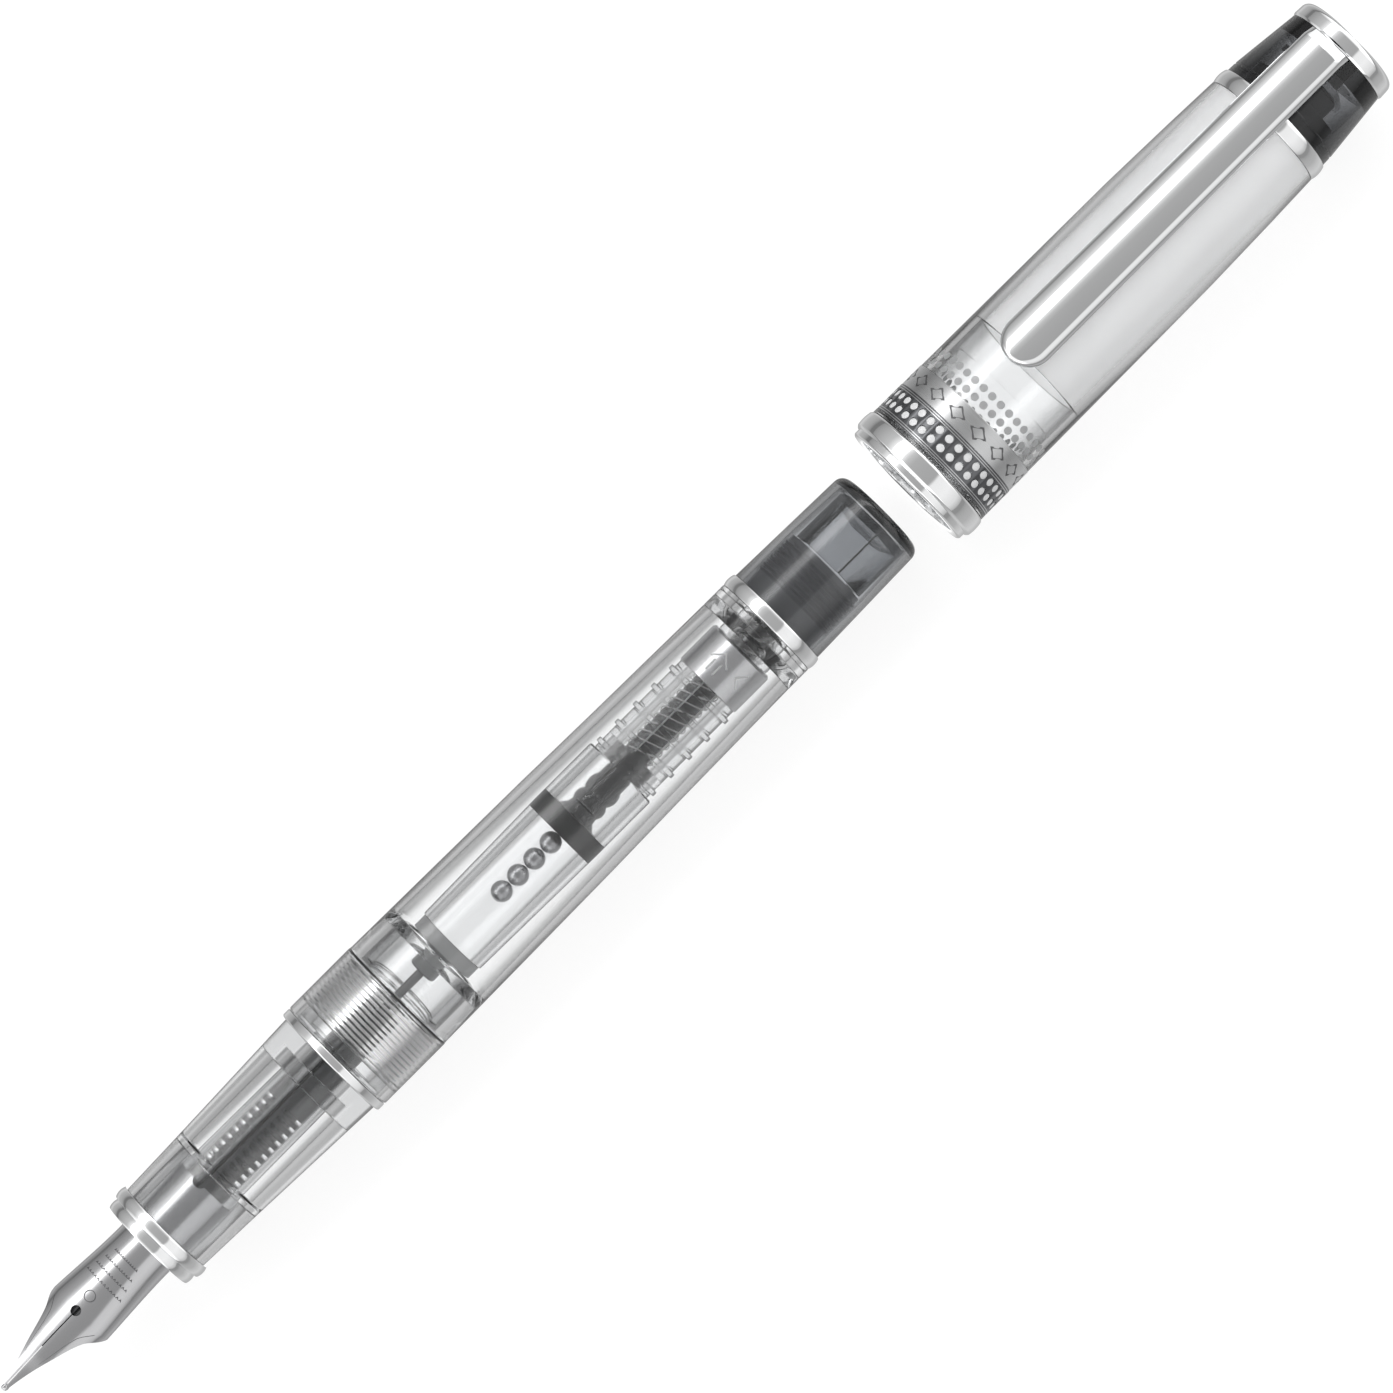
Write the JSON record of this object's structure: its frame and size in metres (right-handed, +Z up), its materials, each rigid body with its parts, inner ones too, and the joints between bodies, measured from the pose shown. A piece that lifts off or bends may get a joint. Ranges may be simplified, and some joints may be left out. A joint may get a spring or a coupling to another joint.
{
  "type": "fountain pen",
  "caption": "Clear fountain pen with smoky ends, chrome rings and clip, a twist converter with agitator balls, and its cap off behind the tail.",
  "frame": {"origin": "centre of the bounding box on the surface that the pen lies on", "axes": "+X along the pen from the nib to the cap, +Z up through the clip and the top of the nib"},
  "size_m": [0.165, 0.0138, 0.0147],
  "materials": {
    "clear_acrylic": "clear polished acrylic",
    "smoke_acrylic": "smoke grey translucent acrylic, polished",
    "smoke_clear": "pale grey clear plastic",
    "frosted_liner": "frosted milky plastic",
    "chrome_trim": "bright chrome plate",
    "nib_steel": "polished stainless steel with fine engraving",
    "tipping_metal": "hard pale tipping pellet",
    "feed_plastic": "dark grey translucent moulded plastic",
    "black_rubber": "black seal rubber",
    "black_plastic": "black moulded plastic",
    "grey_plastic": "grey moulded plastic",
    "ball_steel": "bright steel balls",
    "sleeve_metal": "satin plated sleeve",
    "band_dark": "dark grey lacquered band",
    "band_pale": "pale satin metal band"
  },
  "bodies": {
    "section": {"section_shell": "clear_acrylic", "nib": "nib_steel", "nib_tipping": "tipping_metal", "feed": "feed_plastic", "comb_housing": "smoke_clear", "nib_collar": "clear_acrylic", "front_trim_ring": "chrome_trim", "rear_trim_ring": "chrome_trim", "ink_pipe": "grey_plastic"},
    "barrel": {"barrel_tube": "clear_acrylic", "tail_cone": "smoke_clear", "tail_window_ring": "clear_acrylic", "tail_band": "smoke_clear", "tail_ring": "chrome_trim", "tail_plug": "smoke_acrylic", "tail_cap": "smoke_acrylic", "tail_insert": "smoke_acrylic"},
    "converter": {"converter_mouth": "grey_plastic", "ink_tube": "clear_acrylic", "guide_bush": "black_plastic", "guide_tube": "clear_acrylic", "metal_sleeve": "sleeve_metal"},
    "knob": {"twist_knob": "clear_acrylic"},
    "piston": {"piston_seal": "black_rubber", "piston_rod": "black_plastic", "spindle": "black_plastic"},
    "cap": {"cap_mouth_ring": "chrome_trim", "cap_shell": "clear_acrylic", "pattern_band": "band_dark", "plain_band": "band_pale", "cap_inner_sleeve": "clear_acrylic", "cap_liner": "frosted_liner", "cap_upper_ring": "chrome_trim", "cap_top": "smoke_acrylic", "cap_plug": "grey_plastic", "clip_bracket": "sleeve_metal", "finial_ring": "chrome_trim", "finial_disc": "smoke_acrylic"},
    "clip": {"clip": "chrome_trim"},
    "ball_1": {"agitator_ball_1": "ball_steel"},
    "ball_2": {"agitator_ball_2": "ball_steel"},
    "ball_3": {"agitator_ball_3": "ball_steel"},
    "ball_4": {"agitator_ball_4": "ball_steel"}
  },
  "joints": [
    {"name": "barrel_draw", "type": "slide", "parent": "section", "child": "barrel", "axis": [1, 0, 0], "range_m": [0, 0.058]},
    {"name": "cap_slide", "type": "slide", "parent": "barrel", "child": "cap", "axis": [1, 0, 0], "range_m": [-0.0295, 0.02]},
    {"name": "clip_flex", "type": "hinge", "parent": "cap", "child": "clip", "pos_m": [0.0802, 0, 0.01106], "axis": [0, 1, 0], "range_deg": [0, 3.5], "stiffness_Nm_per_rad": 0.5},
    {"name": "converter_pull", "type": "slide", "parent": "section", "child": "converter", "axis": [1, 0, 0], "range_m": [0, 0.0032]},
    {"name": "knob_turn", "type": "hinge", "parent": "converter", "child": "knob", "pos_m": [0.0105, 0, 0.00686], "axis": [1, 0, 0], "range_deg": [-45.5, 450.5]},
    {"name": "piston_travel", "type": "slide", "parent": "converter", "child": "piston", "axis": [1, 0, 0], "range_m": [-0.00475, 0.00047]},
    {"name": "ball_4_roll", "type": "slide", "parent": "piston", "child": "ball_4", "axis": [1, 0, 0], "range_m": [-0.0003, 0]},
    {"name": "ball_3_roll", "type": "slide", "parent": "ball_4", "child": "ball_3", "axis": [1, 0, 0], "range_m": [-0.0003, 0]},
    {"name": "ball_2_roll", "type": "slide", "parent": "ball_3", "child": "ball_2", "axis": [1, 0, 0], "range_m": [-0.0003, 0]},
    {"name": "ball_1_roll", "type": "slide", "parent": "ball_2", "child": "ball_1", "axis": [1, 0, 0], "range_m": [-0.0003, 0]}
  ],
  "couplings": [
    {"joint": "knob_turn", "follows": "piston_travel", "rad_per_m": -1653.5}
  ]
}
